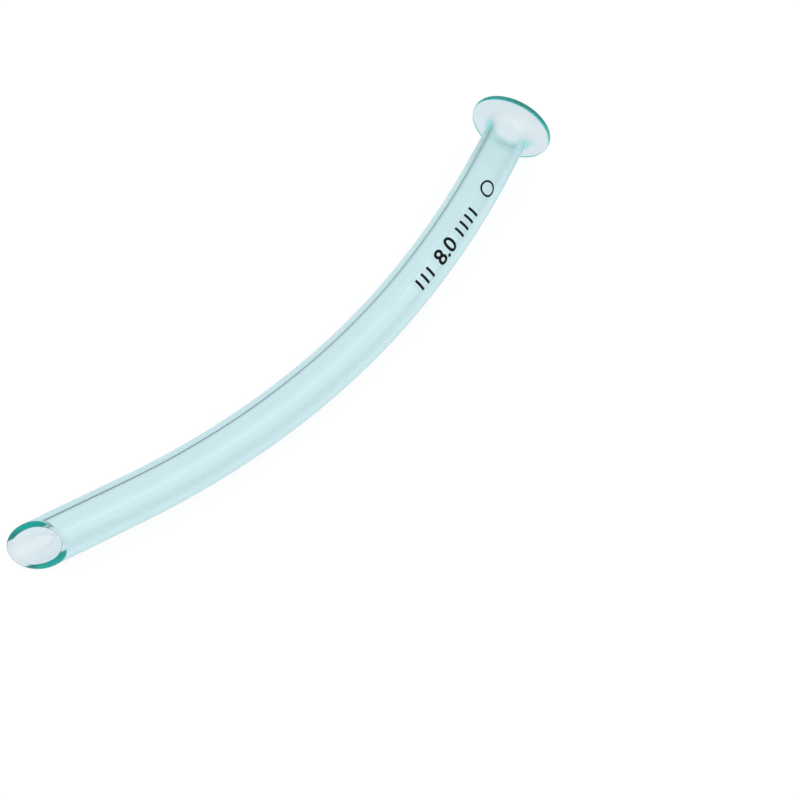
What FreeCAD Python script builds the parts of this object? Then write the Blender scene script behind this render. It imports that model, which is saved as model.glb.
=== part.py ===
import FreeCAD, Part
import math
import os

import Sketcher

os.makedirs("parts", exist_ok=True)

# A nasopharyngeal airway: a soft clear tube, moulded in one piece. A thin round flange stops it at
# the nostril, a short funnel inside the flange leads into the bore, the tube bends gently to follow
# the floor of the nose, and the tip is cut to a slant with its edges rounded.
#
# The body's own axes: the flange's outer face stands at the origin and the tube leaves it along +X.
# The tube bends in the XY plane, towards -Y, so +Y is the outer side of its bends.

doc = FreeCAD.newDocument("nasopharyngeal_airway")

# Driving sizes, in millimetres and degrees
sizes = doc.addObject("Spreadsheet::Sheet", "sizes")
DRIVING_SIZES = (
    ("bore_diameter", 8.0, "inside of the tube, by which airways are named"),
    ("wall", 1.35, "wall of the tube, the funnel and the flange"),
    ("flange_diameter", 20.5, "across the flange"),
    ("flare_radius", 3.2, "sweep of the outside from the tube into the flange"),
    ("neck_length", 14.0, "from the flange's outer face to the first bend"),
    ("first_bend_radius", 238.0, "easy bend behind the neck, on the centreline"),
    ("first_bend_angle", 9.7, "turn of the easy bend"),
    ("second_bend_radius", 188.0, "main bend, on the centreline"),
    ("second_bend_angle", 24.7, "turn of the main bend"),
    ("tip_length", 22.5, "straight stretch, up to the middle of the slanted mouth"),
    ("bevel_angle", 47.5, "slant of the mouth, from square to the tube"),
    ("bevel_turn", 32.0, "turn of the mouth, from sideways to the bends to their outer side"),
    ("rim_round", 0.4, "rounding of the flange's rim"),
    ("mouth_round", 0.3, "rounding of the slanted mouth's two edges"),
)
for row, (alias, value, meaning) in enumerate(DRIVING_SIZES, start=1):
    sizes.set(f"A{row}", alias)
    sizes.set(f"B{row}", str(value))
    sizes.set(f"C{row}", meaning)
    sizes.setAlias(f"B{row}", alias)
doc.recompute()


def size(alias):
    """One driving size, as a number."""
    return float(sizes.get(alias))


wall = size("wall")
bore_radius = size("bore_diameter") / 2
tube_radius = bore_radius + wall
flange_radius = size("flange_diameter") / 2
first_turn = math.radians(size("first_bend_angle"))
second_turn = math.radians(size("second_bend_angle"))
whole_turn = first_turn + second_turn
bevel = math.radians(size("bevel_angle"))

airway = doc.addObject("PartDesign::Body", "airway")
airway.Label = "airway"

# How a sketch names an element's points and its own root point
START, END, CENTRE = range(1, 4)
ROOT = (-1, START)
UP = FreeCAD.Vector(0, 0, 1)


def new_sketch(name, role):
    """An empty sketch on one of the body's origin planes, such as XY_Plane."""
    sketch = airway.newObject("Sketcher::SketchObject", name)
    plane = next(f for f in airway.Origin.OriginFeatures if f.Role == role)
    sketch.AttachmentSupport = [(plane, "")]
    sketch.MapMode = "FlatFace"
    return sketch


def hold(sketch, *constraint):
    """Adds a constraint to a sketch and gives its number."""
    return sketch.addConstraint(Sketcher.Constraint(*constraint))


def drive(sketch, name, expression, *constraint):
    """Adds a named dimension to a sketch and binds it to the driving sizes."""
    sketch.renameConstraint(hold(sketch, *constraint), name)
    sketch.setExpression(f"Constraints.{name}", expression)


# Flange, funnel and neck: a section of even wall, revolved about the tube's axis.
# The flare outside and the funnel inside share one centre, which keeps the wall even round the curve.
section = new_sketch("neck_section", "XY_Plane")
FACE, RIM, BACK, FLARE, OUTSIDE, STEP, INSIDE, FUNNEL = range(8)
flare_end = wall + size("flare_radius")
flare_height = tube_radius + size("flare_radius")
neck_end = size("neck_length")


def side(first, second):
    """One straight side of the section."""
    section.addGeometry(Part.LineSegment(FreeCAD.Vector(*first), FreeCAD.Vector(*second)))


def curve(radius):
    """A quarter round about the centre that the flare and the funnel share."""
    circle = Part.Circle(FreeCAD.Vector(flare_end, flare_height), UP, radius)
    section.addGeometry(Part.ArcOfCircle(circle, math.pi, 1.5 * math.pi))


side((0, flare_height), (0, flange_radius))
side((0, flange_radius), (wall, flange_radius))
side((wall, flange_radius), (wall, flare_height))
curve(size("flare_radius"))
side((flare_end, tube_radius), (neck_end, tube_radius))
side((neck_end, tube_radius), (neck_end, bore_radius))
side((neck_end, bore_radius), (flare_end, bore_radius))
curve(flare_end)

for line in (FACE, BACK, STEP):
    hold(section, "Vertical", line)
for line in (RIM, OUTSIDE, INSIDE):
    hold(section, "Horizontal", line)
for line, following in ((FACE, RIM), (RIM, BACK), (OUTSIDE, STEP), (STEP, INSIDE)):
    hold(section, "Coincident", line, END, following, START)
hold(section, "Tangent", BACK, END, FLARE, START)
hold(section, "Tangent", FLARE, END, OUTSIDE, START)
hold(section, "Tangent", FACE, START, FUNNEL, START)
hold(section, "Tangent", INSIDE, END, FUNNEL, END)
hold(section, "Coincident", FLARE, CENTRE, FUNNEL, CENTRE)
hold(section, "Vertical", *ROOT, FACE, END)
drive(section, "wall", "sizes.wall", "DistanceX", RIM, START, RIM, END, wall)
drive(section, "flange_radius", "sizes.flange_diameter / 2", "DistanceY", *ROOT, FACE, END, flange_radius)
drive(section, "flare_radius", "sizes.flare_radius", "Radius", FLARE, size("flare_radius"))
drive(section, "bore_radius", "sizes.bore_diameter / 2", "DistanceY", *ROOT, STEP, END, bore_radius)
drive(section, "neck_length", "sizes.neck_length", "DistanceX", *ROOT, STEP, END, neck_end)

neck = airway.newObject("PartDesign::Revolution", "neck")
neck.Profile = section
neck.ReferenceAxis = (section, ["H_Axis"])
neck.Angle = 360
doc.recompute()


# Centreline from the end of the neck to past the tip: two bends, each tangent to the next, and a
# straight, which runs on past the middle of the mouth as far as the slanting cut reaches.
def station(turn):
    """Place and direction of the centreline where the tube has turned by this angle."""
    first = min(turn, first_turn)
    x = neck_end + size("first_bend_radius") * math.sin(first)
    y = size("first_bend_radius") * (math.cos(first) - 1)
    if turn > first_turn:
        x += size("second_bend_radius") * (math.sin(turn) - math.sin(first_turn))
        y += size("second_bend_radius") * (math.cos(turn) - math.cos(first_turn))
    return FreeCAD.Vector(x, y, 0), FreeCAD.Vector(math.cos(turn), -math.sin(turn), 0)


def bend(start_turn, end_turn, radius):
    """A bend towards -Y. An arc runs anticlockwise, so it starts at the bend's far end."""
    place, direction = station(start_turn)
    centre = place + radius * FreeCAD.Vector(direction.y, -direction.x, 0)
    circle = Part.Circle(centre, UP, radius)
    return Part.ArcOfCircle(circle, math.pi / 2 - end_turn, math.pi / 2 - start_turn)


centreline = new_sketch("centreline", "XY_Plane")
FIRST, SECOND, TIP, TIP_SPARE = range(4)
bends_end, tip_direction = station(whole_turn)
mouth_middle = bends_end + size("tip_length") * tip_direction
SPARE = "(sizes.bore_diameter / 2 + sizes.wall) * tan(sizes.bevel_angle * 1 deg) + sizes.wall"
spare = tube_radius * math.tan(bevel) + wall
centreline.addGeometry(bend(0, first_turn, size("first_bend_radius")))
centreline.addGeometry(bend(first_turn, whole_turn, size("second_bend_radius")))
centreline.addGeometry(Part.LineSegment(bends_end, mouth_middle))
centreline.addGeometry(Part.LineSegment(mouth_middle, mouth_middle + spare * tip_direction))

hold(centreline, "Horizontal", *ROOT, FIRST, END)
hold(centreline, "Vertical", FIRST, CENTRE, FIRST, END)
hold(centreline, "Tangent", FIRST, START, SECOND, END)
hold(centreline, "Tangent", SECOND, START, TIP, START)
hold(centreline, "Tangent", TIP, END, TIP_SPARE, START)
drive(centreline, "neck_length", "sizes.neck_length", "DistanceX", *ROOT, FIRST, END, neck_end)
drive(centreline, "first_radius", "sizes.first_bend_radius", "Radius", FIRST, size("first_bend_radius"))
drive(centreline, "second_radius", "sizes.second_bend_radius", "Radius", SECOND, size("second_bend_radius"))
drive(centreline, "first_angle", "sizes.first_bend_angle * 1 deg", "Angle", FIRST, first_turn)
drive(centreline, "second_angle", "sizes.second_bend_angle * 1 deg", "Angle", SECOND, second_turn)
drive(centreline, "tip_length", "sizes.tip_length", "Distance", TIP, START, TIP, END, size("tip_length"))
drive(centreline, "spare", SPARE, "Distance", TIP_SPARE, START, TIP_SPARE, END, spare)
MOUTH_PLACE = (("mouth_x", "DistanceX", mouth_middle.x), ("mouth_y", "DistanceY", mouth_middle.y))
for name, kind, distance in MOUTH_PLACE:
    reference = hold(centreline, kind, *ROOT, TIP, END, distance)
    centreline.renameConstraint(reference, name)
    centreline.setDriving(reference, False)

# Tube: a ring at the end of the neck, swept along the centreline
ring = new_sketch("tube_ring", "YZ_Plane")
ring.setExpression("AttachmentOffset.Base.z", "sizes.neck_length")
BORE, TUBE = range(2)
ring.addGeometry(Part.Circle(FreeCAD.Vector(), UP, bore_radius))
ring.addGeometry(Part.Circle(FreeCAD.Vector(), UP, tube_radius))
for circle in (BORE, TUBE):
    hold(ring, "Coincident", circle, CENTRE, *ROOT)
drive(ring, "bore_radius", "sizes.bore_diameter / 2", "Radius", BORE, bore_radius)
drive(ring, "tube_radius", "sizes.bore_diameter / 2 + sizes.wall", "Radius", TUBE, tube_radius)

tube = airway.newObject("PartDesign::AdditivePipe", "tube")
tube.Profile = ring
tube.Spine = (centreline, [f"Edge{n}" for n in range(1, centreline.GeometryCount + 1)])
doc.recompute()

# Slanted mouth: a plane through its middle is turned about the tip and then leant back from square,
# and a round pocket on it takes away all that lies beyond.
mouth = new_sketch("mouth_plane", "XY_Plane")
mouth.setExpression(
    "AttachmentOffset",
    "placement(vector(centreline.Constraints.mouth_x; centreline.Constraints.mouth_y; 0);"
    " rotation(vector(0; 0; 1); -(sizes.first_bend_angle + sizes.second_bend_angle))"
    " * rotation(vector(1; 0; 0); -sizes.bevel_turn)"
    " * rotation(vector(0; 1; 0); 90 - sizes.bevel_angle))",
)
REACH = "(sizes.bore_diameter / 2 + sizes.wall) / cos(sizes.bevel_angle * 1 deg) + sizes.wall"
reach = tube_radius / math.cos(bevel) + wall
mouth.addGeometry(Part.Circle(FreeCAD.Vector(), UP, reach))
hold(mouth, "Coincident", 0, CENTRE, *ROOT)
drive(mouth, "reach", REACH, "Radius", 0, reach)

slant = airway.newObject("PartDesign::Pocket", "slant")
slant.Profile = mouth
slant.setExpression("Length", f"2 * ({REACH})")
slant.Reversed = True
doc.recompute()
if slant.Shape.Volume >= tube.Shape.Volume:
    raise ValueError("the slanted mouth was not cut")

# Rounded edges: the flange's rim, and the outer and inner edge of the slanted mouth
ON_EDGE, EDGE_POINTS = 1e-4, 5


def on_rim(edge):
    """True for the two edges round the flange's rim."""
    return isinstance(edge.Curve, Part.Circle) and abs(edge.Curve.Radius - flange_radius) < ON_EDGE


def on_mouth(edge):
    """True for the two edges that lie in the plane of the slanted mouth."""
    normal = mouth.Placement.Rotation.multVec(UP)
    heights = [(place - mouth.Placement.Base).dot(normal) for place in edge.discretize(EDGE_POINTS)]
    return max(map(abs, heights)) < ON_EDGE


def round_edges(name, wanted, radius):
    """Rounds the body's edges for which wanted(edge) holds, by one of the driving sizes."""
    base = airway.Tip
    names = [f"Edge{n}" for n, edge in enumerate(base.Shape.Edges, start=1) if wanted(edge)]
    rounding = airway.newObject("PartDesign::Fillet", name)
    rounding.Base = (base, names)
    rounding.setExpression("Radius", f"sizes.{radius}")
    doc.recompute()


round_edges("round_rim", on_rim, "rim_round")
round_edges("round_mouth", on_mouth, "mouth_round")

# Rest: the airway lies on the flange's rim and on the outer side of its bends, and it rolls along
# the bends until its centre of mass is as low as it goes.
BISECTIONS, STATIONS = 40, 400
STEEPEST = math.pi / 4
corner = size("rim_round")
weight = airway.Shape.Solids[0].CenterOfMass


def floor_at(turn):
    """Upward direction, and height, of the floor that touches the rim and the tube at this turn."""
    place, direction = station(turn)
    outer_side = UP.cross(direction)
    steep, level = -STEEPEST, 0
    for _ in range(BISECTIONS):
        tilt = (steep + level) / 2
        upward = math.cos(tilt) * UP + math.sin(tilt) * outer_side
        tube_foot = place.dot(upward) - tube_radius
        rim_foot = min(corner * upward.x, (wall - corner) * upward.x) - corner
        rim_foot -= (flange_radius - corner) * math.hypot(upward.y, upward.z)
        if rim_foot > tube_foot:
            steep = tilt
        else:
            level = tilt
    return upward, tube_foot


def weight_height(turn):
    """How high the centre of mass stands over that floor."""
    upward, foot = floor_at(turn)
    return weight.dot(upward) - foot


resting_turn = min((whole_turn * n / STATIONS for n in range(1, STATIONS + 1)), key=weight_height)
upward, foot = floor_at(resting_turn)

# The part's frame: +Z up, +X from the tip to the flange, and the origin under the middle
to_flange = -mouth_middle + mouth_middle.dot(upward) * upward
turned = FreeCAD.Rotation(to_flange, upward.cross(to_flange), upward, "ZXY").inverted()
airway.Placement = FreeCAD.Placement(FreeCAD.Vector(0, 0, -foot), turned)
doc.recompute()
box = airway.Shape.optimalBoundingBox(False, False)
airway.Placement.Base = FreeCAD.Vector(-box.Center.x, -box.Center.y, -foot)
doc.recompute()

faults = [feature.Name for feature in doc.Objects if {"Invalid", "Error"} & set(feature.State)]
if faults:
    raise ValueError(f"these objects failed: {faults}")
if airway.Shape.isNull() or not airway.Shape.isValid() or len(airway.Shape.Solids) != 1:
    raise ValueError("the airway is not one valid solid")
airway.Shape.exportStep(f"parts/{airway.Label}.step")

box = airway.Shape.optimalBoundingBox(False, False)
tilt = math.degrees(math.acos(upward.z))
print(f"lies {box.XLength:.2f} x {box.YLength:.2f} x {box.ZLength:.2f} mm, from z = {box.ZMin:.4f}")
print(f"volume {airway.Shape.Volume:.1f} mm3, plane of the bends tilted {tilt:.2f} degrees")
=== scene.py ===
# %% [markdown]
# # A nasopharyngeal airway in clear vinyl
# The object is one soft tube of clear, pale blue-green vinyl. It has a round flange with a funnel at
# one end and a slanted, rounded mouth at the other, and a few black marks are printed near the
# flange. The imported part is loaded and hidden, and the tube is modelled anew.

import math

import bpy
from mathutils import Euler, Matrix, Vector


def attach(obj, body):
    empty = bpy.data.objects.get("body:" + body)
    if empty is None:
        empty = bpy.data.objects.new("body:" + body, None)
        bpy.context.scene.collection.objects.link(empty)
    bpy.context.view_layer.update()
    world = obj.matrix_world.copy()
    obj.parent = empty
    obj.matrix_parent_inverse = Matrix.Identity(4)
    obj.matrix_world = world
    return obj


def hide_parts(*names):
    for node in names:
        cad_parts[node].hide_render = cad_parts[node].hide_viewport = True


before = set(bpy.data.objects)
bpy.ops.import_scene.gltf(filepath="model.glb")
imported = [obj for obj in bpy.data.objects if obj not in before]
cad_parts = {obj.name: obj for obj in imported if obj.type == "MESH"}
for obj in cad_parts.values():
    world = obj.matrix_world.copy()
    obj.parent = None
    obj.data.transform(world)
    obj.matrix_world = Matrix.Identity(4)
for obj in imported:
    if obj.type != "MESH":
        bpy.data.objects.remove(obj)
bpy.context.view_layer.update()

# %% [markdown]
# ## Sizes
# The tube is modelled straight along X, in millimetres, with the flange's outer face at X 0. It is
# bent, laid down and brought to metres at the end, as one move, so every step before that stays
# simple. These are the real sizes: the bore is 8 mm, the wall 1.35 mm, and the flange 20.5 mm across.
# Points closer together than MERGE are taken for one.

# %% sizes
MM = 0.001
MERGE = 1e-4
WALL = 1.35
TUBE_RADIUS = 5.35
FLANGE_RADIUS = 10.25
FLARE_RADIUS = 3.2
FLARE_END = WALL + FLARE_RADIUS
NECK_LENGTH = 14.0
FIRST_RADIUS, FIRST_TURN = 238.0, math.radians(9.7)
SECOND_RADIUS, SECOND_TURN = 188.0, math.radians(24.7)
BENDS_END = NECK_LENGTH + FIRST_RADIUS * FIRST_TURN + SECOND_RADIUS * SECOND_TURN
MOUTH_MIDDLE = BENDS_END + 22.5
BEVEL, BEVEL_TURN = math.radians(47.5), math.radians(32.0)
RESTING_TURN = Euler([math.radians(a) for a in (-9.3995, 4.46262, -162.77428)])
RESTING_PLACE = Vector((77.83345, 5.06548, 10.29406))
print(f"mouth {MOUTH_MIDDLE:.1f} mm from the flange's face")

# %% [markdown]
# ## Helpers for modelling
# An operator acts on whatever is selected, so each step first deselects everything and then picks its
# own object, or its own edges by their place. The places are read after the mode has changed, and
# copied, because a change of mode makes older references into the mesh invalid.

# %% helpers for modelling
def only(*things):
    """Deselects everything, then selects these objects and makes the first one active."""
    bpy.ops.object.select_all(action="DESELECT")
    for thing in things:
        thing.select_set(True)
    bpy.context.view_layer.objects.active = things[0]


def apply(thing, kind, **settings):
    """Adds a modifier of this kind and applies it at once."""
    modifier = thing.modifiers.new(kind.lower(), kind)
    for key, value in settings.items():
        setattr(modifier, key, value)
    only(thing)
    bpy.ops.object.modifier_apply(modifier=modifier.name)


def select_edges(thing, wanted):
    """Selects the edges for which wanted(first end, second end) holds, and goes to edit mode."""
    only(thing)
    bpy.ops.object.mode_set(mode="EDIT")
    bpy.ops.mesh.select_mode(type="EDGE")
    bpy.ops.mesh.select_all(action="DESELECT")
    bpy.ops.object.mode_set(mode="OBJECT")
    places = [vertex.co.copy() for vertex in thing.data.vertices]
    for edge in thing.data.edges:
        edge.select = wanted(*(places[end] for end in edge.vertices))
    bpy.ops.object.mode_set(mode="EDIT")


def from_axis(place):
    """Distance of a point from the straight tube's axis."""
    return math.hypot(place.y, place.z)


print("helpers for modelling ready")

# %% [markdown]
# ## The outer skin
# The real tube is moulded on a smooth pin, so its skin is a clean surface of revolution. One ring of
# points is drawn at the tip and extruded from station to station: along the tube, round the quarter
# curve of the flare, and out to the flange's rim. The rings stand close where the tube will bend.

# %% extrude the outer skin
AROUND = 192
BEND_RINGS = 120
FLARE_RINGS = 12
SPARE = 9.0

rings = [(MOUTH_MIDDLE + SPARE, TUBE_RADIUS)]
for n in range(BEND_RINGS + 1):
    rings.append((BENDS_END + (NECK_LENGTH - BENDS_END) * n / BEND_RINGS, TUBE_RADIUS))
for n in range(FLARE_RINGS + 1):
    swing = math.pi / 2 * n / FLARE_RINGS
    flare_out = FLARE_RADIUS * (1 - math.cos(swing))
    rings.append((FLARE_END - FLARE_RADIUS * math.sin(swing), TUBE_RADIUS + flare_out))
rings.append((WALL, FLANGE_RADIUS))

station, radius = rings[0]
bpy.ops.mesh.primitive_circle_add(
    vertices=AROUND, radius=radius, location=(station, 0, 0), rotation=(0, math.pi / 2, 0)
)
airway = bpy.context.object
airway.name = "clear_airway"
bpy.ops.object.transform_apply()
bpy.ops.object.mode_set(mode="EDIT")
bpy.ops.mesh.select_all(action="SELECT")
for x, r in rings[1:]:
    bpy.ops.mesh.extrude_region_move(TRANSFORM_OT_translate={"value": (x - station, 0, 0)})
    if r != radius:
        bpy.ops.transform.resize(value=(1, r / radius, r / radius), center_override=(x, 0, 0))
    station, radius = x, r
bpy.ops.mesh.select_all(action="SELECT")
bpy.ops.mesh.remove_doubles(threshold=MERGE)
bpy.ops.mesh.normals_make_consistent(inside=False)
bpy.ops.object.mode_set(mode="OBJECT")
side_face = min(airway.data.polygons, key=lambda face: abs(face.center.x - NECK_LENGTH))
if side_face.normal.dot(Vector((0, side_face.center.y, side_face.center.z))) < 0:
    only(airway)
    bpy.ops.object.mode_set(mode="EDIT")
    bpy.ops.mesh.select_all(action="SELECT")
    bpy.ops.mesh.flip_normals()
    bpy.ops.object.mode_set(mode="OBJECT")
print("skin of", len(rings), "rings,", len(airway.data.polygons), "faces")

# %% [markdown]
# ## The wall and the slanted mouth
# The wall is even, 1.35 mm in the tube, the funnel and the flange, so the skin is thickened inwards.
# The mouth is cut on a slant of 47.5 degrees, turned 32 degrees round the tube, by a plane that cuts
# skin and bore at once. The two open edges are then joined by a flat ring.

# %% give the wall its thickness and cut the mouth
apply(airway, "SOLIDIFY", thickness=WALL, offset=-1, use_even_offset=True)

mouth_place = Vector((MOUTH_MIDDLE, 0, 0))
mouth_normal = Vector((
    math.cos(BEVEL),
    math.sin(BEVEL) * math.sin(BEVEL_TURN),
    math.sin(BEVEL) * math.cos(BEVEL_TURN),
))
only(airway)
bpy.ops.object.mode_set(mode="EDIT")
bpy.ops.mesh.select_mode(type="EDGE")
bpy.ops.mesh.select_all(action="SELECT")
bpy.ops.mesh.bisect(plane_co=mouth_place, plane_no=mouth_normal, clear_outer=True, threshold=MERGE)
bpy.ops.mesh.select_all(action="DESELECT")
bpy.ops.mesh.select_non_manifold()
bpy.ops.mesh.bridge_edge_loops()
bpy.ops.object.mode_set(mode="OBJECT")
print("wall and mouth of", len(airway.data.polygons), "faces")

# %% [markdown]
# ## Rounded edges
# The mouth and the flange's rim are rounded on the real airway, to go in gently. The edges are found
# by their place and bevelled in five steps. Each point then notes where it lies on the straight tube,
# so that streaks, specks and haze can follow the tube after it is bent.

# %% round the mouth and the rim, and note the straight places
MOUTH_ROUNDING, RIM_ROUNDING, ROUNDING_STEPS = 0.43, 0.56, 5
TOLERANCE = 1e-3


def round_mouth(first, second):
    """True for the mouth's inner and outer edge, which stay at one distance from the axis."""
    in_plane = all(abs((place - mouth_place).dot(mouth_normal)) < TOLERANCE for place in (first, second))
    return in_plane and abs(from_axis(first) - from_axis(second)) < 0.1


def round_rim(first, second):
    """True for the two edges round the flange's rim."""
    level = abs(first.x - second.x) < TOLERANCE
    return level and min(from_axis(first), from_axis(second)) > FLANGE_RADIUS - 1e-2


for wanted, width in ((round_mouth, MOUTH_ROUNDING), (round_rim, RIM_ROUNDING)):
    select_edges(airway, wanted)
    bpy.ops.mesh.bevel(
        offset=width, offset_type="WIDTH", segments=ROUNDING_STEPS, affect="EDGES", clamp_overlap=True
    )
    bpy.ops.object.mode_set(mode="OBJECT")
only(airway)
bpy.ops.object.mode_set(mode="EDIT")
bpy.ops.mesh.select_all(action="SELECT")
bpy.ops.mesh.normals_make_consistent(inside=False)
bpy.ops.object.mode_set(mode="OBJECT")
straight_places = airway.data.attributes.new("straight", "FLOAT_VECTOR", "POINT")
for vertex in airway.data.vertices:
    straight_places.data[vertex.index].vector = vertex.co
print("closed wall of", len(airway.data.polygons), "faces")

# %% [markdown]
# ## Printed marks
# The real tube has a line of small black print near the flange. It is stood in for by plain things:
# the bore's size as a bare number, a few ticks as on a ruler, and an empty ring. Each is drawn flat
# over the straight tube, at the height and weight of real print.

# %% draw the marks flat
TICKS = (54.3, 52.1, 49.9, 37.0, 34.8, 32.6, 30.4)
TICK_WIDTH, TICK_HEIGHT = 0.72, 3.3
NUMBER_MIDDLE, NUMBER_SIZE, NUMBER_WEIGHT = 43.2, 5.8, 0.12
RING_MIDDLE, RING_RADIUS, RING_LINE, RING_POINTS = 22.9, 2.18, 0.56, 64

marks = []
for station in TICKS:
    bpy.ops.mesh.primitive_plane_add(size=1, location=(station, 0, 0))
    tick = bpy.context.object
    tick.scale = (TICK_WIDTH, TICK_HEIGHT, 1)
    marks.append(tick)

bpy.ops.object.text_add(location=(NUMBER_MIDDLE, 0, 0), rotation=(0, 0, math.pi))
number = bpy.context.object
number.data.body = "8.0"
number.data.size = NUMBER_SIZE
number.data.offset = NUMBER_WEIGHT
number.data.align_x, number.data.align_y = "CENTER", "CENTER"
bpy.ops.object.convert(target="MESH")
marks.append(bpy.context.object)

bpy.ops.mesh.primitive_circle_add(
    vertices=RING_POINTS, radius=RING_RADIUS, location=(RING_MIDDLE, 0, 0)
)
ring = bpy.context.object
bpy.ops.object.mode_set(mode="EDIT")
bpy.ops.mesh.select_all(action="SELECT")
bpy.ops.mesh.extrude_region_move(TRANSFORM_OT_translate={"value": (0, 0, 0)})
inner = 1 - RING_LINE / RING_RADIUS
bpy.ops.transform.resize(value=(inner, inner, 1), center_override=(RING_MIDDLE, 0, 0))
bpy.ops.object.mode_set(mode="OBJECT")
marks.append(ring)
print(len(marks), "marks drawn")

# %% [markdown]
# ## The film of ink
# A pad printer lays ink on the round skin with a soft pad. So the flat marks are joined, cut fine,
# lifted over the tube, turned to the side where the print stands, and shrunk onto the skin.

# %% wrap the marks on the straight tube
INK = 0.02
PRINT_TURN = math.radians(-30)
FINE_CUTS = 5
LIFT = TUBE_RADIUS + 0.5

only(*marks)
bpy.ops.object.transform_apply()
bpy.ops.object.join()
print_film = bpy.context.object
print_film.name = "printed_marks"
bpy.ops.object.mode_set(mode="EDIT")
bpy.ops.mesh.select_all(action="SELECT")
bpy.ops.mesh.remove_doubles(threshold=MERGE)
bpy.ops.mesh.subdivide(number_cuts=FINE_CUTS)
bpy.ops.mesh.normals_make_consistent(inside=False)
bpy.ops.transform.translate(value=(0, 0, LIFT))
bpy.ops.transform.rotate(value=-PRINT_TURN, orient_axis="X", center_override=(0, 0, 0))
bpy.ops.object.mode_set(mode="OBJECT")
apply(
    print_film, "SHRINKWRAP",
    target=airway, wrap_method="NEAREST_SURFACEPOINT", wrap_mode="ABOVE_SURFACE", offset=INK,
)
print("print of", len(print_film.data.polygons), "faces")

# %% [markdown]
# ## The tube's line
# The real tube comes off a curved pin: straight in the neck, an easy bend, a tighter bend, and
# straight at the tip. A Bezier curve follows an arc closely when its handles have the right length,
# so the same line is drawn here with one point at each change of the bend and one at each end.

# %% draw the line that the tube follows
NECK_HANDLE, TIP_HANDLE, RUN_OUT, LINE_STEPS = 4, 10, 40.0, 100


def bend_point(turn):
    """Place and heading of the line where it has turned by this angle."""
    first = min(turn, FIRST_TURN)
    x = NECK_LENGTH + FIRST_RADIUS * math.sin(first)
    y = FIRST_RADIUS * (math.cos(first) - 1)
    if turn > FIRST_TURN:
        x += SECOND_RADIUS * (math.sin(turn) - math.sin(FIRST_TURN))
        y += SECOND_RADIUS * (math.cos(turn) - math.cos(FIRST_TURN))
    return Vector((x, y, 0)), Vector((math.cos(turn), -math.sin(turn), 0))


def handle(span, radius):
    """Length of a handle that makes a curve follow an arc of this span."""
    return 4 / 3 * math.tan(span / 4) * radius


first_handle = handle(FIRST_TURN, FIRST_RADIUS)
second_handle = handle(SECOND_TURN, SECOND_RADIUS)
neck_place, neck_heading = bend_point(0)
middle_place, middle_heading = bend_point(FIRST_TURN)
end_place, tip_heading = bend_point(FIRST_TURN + SECOND_TURN)
line_points = (
    (Vector((0, 0, 0)), neck_heading, NECK_HANDLE, NECK_HANDLE),
    (neck_place, neck_heading, NECK_HANDLE, first_handle),
    (middle_place, middle_heading, first_handle, second_handle),
    (end_place, tip_heading, second_handle, TIP_HANDLE),
    (end_place + RUN_OUT * tip_heading, tip_heading, TIP_HANDLE, TIP_HANDLE),
)
bpy.ops.curve.primitive_bezier_curve_add(location=(0, 0, 0))
line = bpy.context.object
line.name = "tube_line"
line.data.resolution_u = LINE_STEPS
spline = line.data.splines[0]
spline.bezier_points.add(len(line_points) - len(spline.bezier_points))
for point, (place, heading, before, after) in zip(spline.bezier_points, line_points):
    point.handle_left_type = point.handle_right_type = "FREE"
    point.co = place
    point.handle_left = place - before * heading
    point.handle_right = place + after * heading
print("line with", len(spline.bezier_points), "points")

# %% [markdown]
# ## Bend and lay down
# A Curve modifier carries the straight tube and its print along the line. The film gets its thickness
# after that. The normals are weighted by the faces' area, so the broad faces stay clean beside the
# small ones of the rounding. Then both are turned onto the floor, where the airway rests on its
# flange's rim and on the outer side of its bend.

# %% bend along the line and lay it on the floor
for thing in (airway, print_film):
    apply(thing, "CURVE", object=line, deform_axis="POS_X")
apply(print_film, "SOLIDIFY", thickness=INK / 2, offset=1)
for thing in (airway, print_film):
    only(thing)
    bpy.ops.object.shade_smooth()
apply(airway, "WEIGHTED_NORMAL", mode="FACE_AREA", weight=50)
for thing in (airway, print_film):
    thing.rotation_euler = RESTING_TURN
    thing.location = RESTING_PLACE * MM
    thing.scale = (MM, MM, MM)
only(airway, print_film)
bpy.ops.object.transform_apply()
only(line)
bpy.ops.object.delete()
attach(airway, "root")
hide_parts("airway")
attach(print_film, "root")
print("laid down, lowest point", round(min(v.co.z for v in airway.data.vertices) * 1000, 3), "mm")

# %% [markdown]
# ## Helpers for materials
# A material is a small tree of nodes. By hand, a node is added, its values are typed in and its links
# are drawn. Each helper does one such step, so that the cells below read as lists of what the finish
# needs.

# %% helpers for materials
def new_material(name):
    """An empty node material, with its output."""
    material = bpy.data.materials.new(name)
    material.use_nodes = True
    tree = material.node_tree
    tree.nodes.clear()
    return material, tree, tree.nodes.new("ShaderNodeOutputMaterial")


def node(tree, kind, values=None, **settings):
    """Adds a node, with settings for its own switches and values for its sockets."""
    made = tree.nodes.new(kind)
    for key, value in settings.items():
        setattr(made, key, value)
    for key, value in (values or {}).items():
        made.inputs[key].default_value = value
    return made


def ramp(tree, stops, source):
    """A colour ramp through these stops, fed by a source socket. Gives its colour socket."""
    made = tree.nodes.new("ShaderNodeValToRGB")
    while len(made.color_ramp.elements) < len(stops):
        made.color_ramp.elements.new(0.5)
    for element, (position, colour) in zip(made.color_ramp.elements, stops):
        element.position, element.color = position, (*colour, 1)
    tree.links.new(source, made.inputs["Fac"])
    return made.outputs["Color"]


def fade(tree, source, start, end):
    """0 where a value is at start, 1 at end, and smooth between. Gives the result's socket."""
    limits = {"From Min": start, "From Max": end}
    made = node(tree, "ShaderNodeMapRange", limits, interpolation_type="SMOOTHSTEP")
    tree.links.new(source, made.inputs["Value"])
    return made.outputs["Result"]


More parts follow.
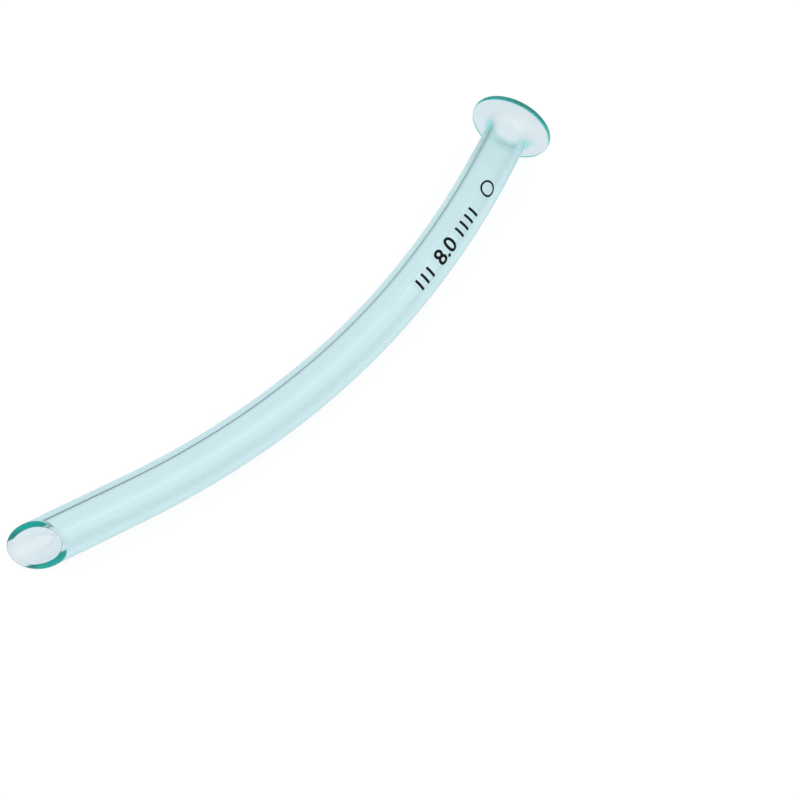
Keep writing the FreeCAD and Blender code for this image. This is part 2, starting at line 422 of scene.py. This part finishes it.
def maths(tree, operation, *sources):
    """One maths node fed by sockets or plain numbers. Gives its result's socket."""
    made = node(tree, "ShaderNodeMath", operation=operation)
    for index, source in enumerate(sources):
        if isinstance(source, (int, float)):
            made.inputs[index].default_value = source
        else:
            tree.links.new(source, made.inputs[index])
    return made.outputs[0]


print("helpers for materials ready")

# %% [markdown]
# ## Clear vinyl: the patterns
# Moulded vinyl is never quite even. It has fine streaks along the tube, gloss that comes and goes,
# and a few specks. Three textures read the place on the straight tube, so the streaks run along the
# bend.

# %% the vinyl's patterns
STREAK_STRETCH = (0.03, 0.9, 0.9)
CLOUD_SCALE, SPECK_SCALE = 0.25, 0.16

vinyl, tree, output = new_material("clear_vinyl")
straight = node(tree, "ShaderNodeAttribute", attribute_name="straight")
streak_place = node(tree, "ShaderNodeVectorMath", {1: STREAK_STRETCH}, operation="MULTIPLY")
tree.links.new(straight.outputs["Vector"], streak_place.inputs[0])
streaks = node(tree, "ShaderNodeTexNoise", {"Scale": 1.0, "Detail": 3.0, "Roughness": 0.5})
tree.links.new(streak_place.outputs[0], streaks.inputs["Vector"])
clouds = node(tree, "ShaderNodeTexNoise", {"Scale": CLOUD_SCALE, "Detail": 2.0})
tree.links.new(straight.outputs["Vector"], clouds.inputs["Vector"])
specks = node(tree, "ShaderNodeTexVoronoi", {"Scale": SPECK_SCALE, "Randomness": 1.0}, feature="F1")
tree.links.new(straight.outputs["Vector"], specks.inputs["Vector"])
print("streaks, clouds and specks")

# %% [markdown]
# ## Clear vinyl: where it changes
# The flange and the cut mouth are less polished than the tube, and the rim is seen through more vinyl
# than the rest, so its deep teal is painted on. Four masks find the rim, the outer skin, the flange and
# the cut: two by the distance from the axis, one by the station along the tube, and one by the distance
# from the plane of the cut.

# %% the vinyl's masks
RIM_FADE = (FLANGE_RADIUS - 0.06, FLANGE_RADIUS - 0.01)
SKIN_FADE = (TUBE_RADIUS - WALL + 0.2, TUBE_RADIUS - 0.2)
FLANGE_FADE = (30.0, 3.0)
cut_level = mouth_place.dot(mouth_normal)
CUT_FADE = (cut_level - 0.5, cut_level - 0.2)

round_axis = node(tree, "ShaderNodeVectorMath", {1: (0, 1, 1)}, operation="MULTIPLY")
tree.links.new(straight.outputs["Vector"], round_axis.inputs[0])
off_axis = node(tree, "ShaderNodeVectorMath", operation="LENGTH")
tree.links.new(round_axis.outputs[0], off_axis.inputs[0])
to_rim = fade(tree, off_axis.outputs["Value"], *RIM_FADE)
to_skin = fade(tree, off_axis.outputs["Value"], *SKIN_FADE)
station_of = node(tree, "ShaderNodeSeparateXYZ")
tree.links.new(straight.outputs["Vector"], station_of.inputs[0])
to_flange = fade(tree, station_of.outputs["X"], *FLANGE_FADE)
along_cut = node(tree, "ShaderNodeVectorMath", {1: mouth_normal}, operation="DOT_PRODUCT")
tree.links.new(straight.outputs["Vector"], along_cut.inputs[0])
to_cut = fade(tree, along_cut.outputs["Value"], *CUT_FADE)
print("masks for the rim, the skin, the flange and the cut")

# %% [markdown]
# ## Clear vinyl: surface and depth
# Soft vinyl is clear with a blue-green tint that comes from depth: a thin wall looks nearly
# colourless, and the cut edges, where light runs along inside the wall, glow deep teal. So most of
# the colour sits in the volume. The renderer follows light through only a few turns inside a wall and
# leaves the rest black, so light that has turned back three times or more gets a weak painted teal
# glow, and the rim's teal is painted into its surface colour for that reason.

# %% the vinyl's surface and depth
VINYL_IOR = 1.53
CLEAR, CLEARER, SPECK = (0.925, 0.982, 0.975), (0.935, 0.988, 0.980), (0.35, 0.42, 0.42)
RIM_GLOW_TINT, LONG_WAY_GLOW = (0.07, 0.50, 0.48, 1), (0.01, 0.125, 0.118, 1)
DEPTH_TINT, DEPTH_DENSITY = (0.06, 0.95, 0.92, 1), 85.0
GLOSS_LEAST, GLOSS_MOST, FLANGE_HAZE, CUT_HAZE = 0.03, 0.09, 0.13, 0.12
TURNS_BACK = 2.5

shader = node(tree, "ShaderNodeBsdfPrincipled", {"IOR": VINYL_IOR, "Transmission Weight": 1.0})
speck_stops = ((0.0, SPECK), (0.012, SPECK), (0.016, CLEAR), (1.0, CLEARER))
body = ramp(tree, speck_stops, specks.outputs["Distance"])
# The rim's deep teal is painted into the surface colour. It stands in for light that runs along inside
# the flange, which the renderer drops.
tint = node(tree, "ShaderNodeMix", data_type="RGBA")
tint.inputs["B"].default_value = RIM_GLOW_TINT
tree.links.new(to_rim, tint.inputs["Factor"])
tree.links.new(body, tint.inputs["A"])
tree.links.new(tint.outputs["Result"], shader.inputs["Base Color"])

gloss = node(tree, "ShaderNodeMapRange", {"To Min": GLOSS_LEAST, "To Max": GLOSS_MOST})
tree.links.new(clouds.outputs["Fac"], gloss.inputs["Value"])
haze = maths(tree, "MULTIPLY_ADD", to_flange, FLANGE_HAZE, gloss.outputs["Result"])
haze = maths(tree, "MULTIPLY_ADD", to_cut, CUT_HAZE, haze)
tree.links.new(haze, shader.inputs["Roughness"])
waves = node(tree, "ShaderNodeBump", {"Strength": 0.08, "Distance": 0.00002})
tree.links.new(streaks.outputs["Fac"], waves.inputs["Height"])
tree.links.new(waves.outputs["Normal"], shader.inputs["Normal"])

# Painted teal glow: vinyl reached by light that has turned back more than twice emits teal, most on the
# outer skin and the flange, least in the bore.
path = node(tree, "ShaderNodeLightPath")
shader.inputs["Emission Color"].default_value = LONG_WAY_GLOW
long_way = maths(tree, "GREATER_THAN", path.outputs["Glossy Depth"], TURNS_BACK)
glow_strength = maths(tree, "MULTIPLY_ADD", to_skin, 0.75, 0.35)
glow_strength = maths(tree, "MULTIPLY_ADD", to_flange, 0.5, glow_strength)
tree.links.new(maths(tree, "MULTIPLY", long_way, glow_strength), shader.inputs["Emission Strength"])
vinyl.cycles.emission_sampling = "NONE"

depth = node(tree, "ShaderNodeVolumeAbsorption", {"Color": DEPTH_TINT, "Density": DEPTH_DENSITY})
tree.links.new(shader.outputs["BSDF"], output.inputs["Surface"])
tree.links.new(depth.outputs["Volume"], output.inputs["Volume"])
airway.data.materials.clear()
airway.data.materials.append(vinyl)
print("vinyl with", len(tree.nodes), "nodes")

# %% [markdown]
# ## Black ink
# Pad-printed ink is thin and dead black, with a soft sheen, and it lies a little unevenly. One fine
# grain, about 0.4 mm across, varies both the black and the gloss.

# %% the ink's material
GRAIN_SCALE = 2500.0

ink, tree, output = new_material("print_ink")
place = node(tree, "ShaderNodeTexCoord")
grain = node(tree, "ShaderNodeTexNoise", {"Scale": GRAIN_SCALE, "Detail": 3.0})
tree.links.new(place.outputs["Object"], grain.inputs["Vector"])
shader = node(tree, "ShaderNodeBsdfPrincipled", {"Specular IOR Level": 0.12})
black = ramp(tree, ((0.3, (0.001, 0.002, 0.002)), (0.75, (0.006, 0.008, 0.008))), grain.outputs["Fac"])
tree.links.new(black, shader.inputs["Base Color"])
sheen = node(tree, "ShaderNodeMapRange", {"To Min": 0.35, "To Max": 0.6})
tree.links.new(grain.outputs["Fac"], sheen.inputs["Value"])
tree.links.new(sheen.outputs["Result"], shader.inputs["Roughness"])
tree.links.new(shader.outputs["BSDF"], output.inputs["Surface"])
print_film.data.materials.clear()
print_film.data.materials.append(ink)
print("ink with", len(tree.nodes), "nodes")

# %% [markdown]
# ## The table
# Clear things show what is round them, so the table is part of the tube's look. The camera sees it as
# plain white, with the airway's shadow. Through the vinyl and in its gloss it is a bright sheet that
# ends a hand's width away, and the darker table beyond draws the thin grey line where the bore
# begins.

# %% the table
TABLE_GREY = (0.12, 0.12, 0.12, 1)
SEEN_BY_CAMERA, SEEN_IN_VINYL = (0.905, 0.905, 0.905, 1), (0.77, 0.74, 0.80, 1)
SHEET_STRETCH, SHEET_SHIFT = (0.5, 1, 0), (0, 0.12, 0)
SHEET_FADE, SHEET_DROP = (0.142, 0.22), -0.80

bpy.ops.mesh.primitive_plane_add(size=6, location=(0, 0, 0))
table = bpy.context.object
table.name = "table"
white, tree, output = new_material("pale_table")
board = node(tree, "ShaderNodeBsdfDiffuse", {"Color": TABLE_GREY})
seen = node(tree, "ShaderNodeLightPath")
in_vinyl = maths(tree, "MAXIMUM", seen.outputs["Is Transmission Ray"], seen.outputs["Is Glossy Ray"])
shown = node(tree, "ShaderNodeMix", data_type="RGBA")
shown.inputs["A"].default_value = SEEN_IN_VINYL
shown.inputs["B"].default_value = SEEN_BY_CAMERA
tree.links.new(seen.outputs["Is Camera Ray"], shown.inputs["Factor"])
lift = node(tree, "ShaderNodeEmission")
tree.links.new(shown.outputs["Result"], lift.inputs["Color"])
ground = node(tree, "ShaderNodeTexCoord")
stretch = node(
    tree, "ShaderNodeVectorMath", {1: SHEET_STRETCH, 2: SHEET_SHIFT}, operation="MULTIPLY_ADD"
)
tree.links.new(ground.outputs["Object"], stretch.inputs[0])
away = node(tree, "ShaderNodeVectorMath", operation="LENGTH")
tree.links.new(stretch.outputs[0], away.inputs[0])
sheet = maths(tree, "MULTIPLY_ADD", fade(tree, away.outputs["Value"], *SHEET_FADE), SHEET_DROP, 1.0)
in_vinyl = maths(tree, "MULTIPLY", in_vinyl, sheet)
tree.links.new(maths(tree, "MAXIMUM", in_vinyl, seen.outputs["Is Camera Ray"]), lift.inputs["Strength"])
both = node(tree, "ShaderNodeAddShader")
tree.links.new(board.outputs[0], both.inputs[0])
tree.links.new(lift.outputs[0], both.inputs[1])
tree.links.new(both.outputs[0], output.inputs["Surface"])
table.data.materials.append(white)
print("table with", len(tree.nodes), "nodes")

# %% [markdown]
# ## The room's light
# The photograph has soft light from all round. The sky here is bright above and on the camera's side,
# and dark along the horizon behind, because a clear tube with nothing dark round it would have no
# edges.

# %% the sky
FRONT_LIFT = -0.4
SKY = (
    (0.0, (0.10, 0.10, 0.11)),
    (0.10, (0.20, 0.20, 0.21)),
    (0.45, (0.84, 0.84, 0.86)),
    (1.0, (0.98, 0.98, 1.0)),
)

world = bpy.data.worlds.new("soft_room")
bpy.context.scene.world = world
world.use_nodes = True
tree = world.node_tree
tree.nodes.clear()
sky_output = tree.nodes.new("ShaderNodeOutputWorld")
look = node(tree, "ShaderNodeTexCoord")
look_parts = node(tree, "ShaderNodeSeparateXYZ")
tree.links.new(look.outputs["Generated"], look_parts.inputs[0])
to_front = maths(tree, "MINIMUM", look_parts.outputs["Y"], 0)
height = maths(tree, "MULTIPLY_ADD", to_front, FRONT_LIFT, look_parts.outputs["Z"])
room_light = ramp(tree, SKY, height)
seen = node(tree, "ShaderNodeLightPath")
sky = node(tree, "ShaderNodeMix", data_type="RGBA")
tree.links.new(seen.outputs["Is Camera Ray"], sky.inputs["Factor"])
tree.links.new(room_light, sky.inputs["A"])
sky.inputs["B"].default_value = (1, 1, 1, 1)
background = node(tree, "ShaderNodeBackground", {"Strength": 1.0})
tree.links.new(sky.outputs["Result"], background.inputs["Color"])
tree.links.new(background.outputs[0], sky_output.inputs["Surface"])
print("sky with", len(tree.nodes), "nodes")

# %% [markdown]
# ## The softbox
# One large softbox in front and above gives the broad, pale streak down the tube. It is big and weak,
# so the streak has no hard edge. Without it the middle of the tube would look flat.

# %% the softbox
KEY_PLACE, KEY_SIZE, KEY_POWER = Vector((0.20, -0.83, 0.83)), 1.3, 2.8

bpy.ops.object.light_add(type="AREA", location=KEY_PLACE)
key = bpy.context.object
key.name = "key"
key.data.shape = "RECTANGLE"
key.data.size, key.data.size_y = KEY_SIZE, KEY_SIZE
key.data.energy = KEY_POWER
key.rotation_mode = "QUATERNION"
key.rotation_quaternion = (-KEY_PLACE).to_track_quat("-Z", "Y")
print("softbox", KEY_SIZE, "m wide")

# %% [markdown]
# ## Camera
# The camera stands where the photograph was taken from, worked out from the outline of the tube, the
# flange and the mouth. It looks steeply down on the tip, with the flange at the far end.

# %% camera
CAMERA_PLACE = (-0.13550, -0.15066, 0.29255)
CAMERA_HEADING = Vector((0.40177, 0.36357, -0.84048))
LENS, SENSOR, NEAREST = 69.205, 36, 0.01

bpy.ops.object.camera_add(location=CAMERA_PLACE)
camera = bpy.context.object
camera.data.lens = LENS
camera.data.sensor_width = SENSOR
camera.data.clip_start = NEAREST
camera.rotation_mode = "QUATERNION"
camera.rotation_quaternion = CAMERA_HEADING.to_track_quat("-Z", "Y")
bpy.context.scene.camera = camera
bpy.context.scene.view_settings.view_transform = "Standard"
print("camera", [round(c, 4) for c in camera.location])
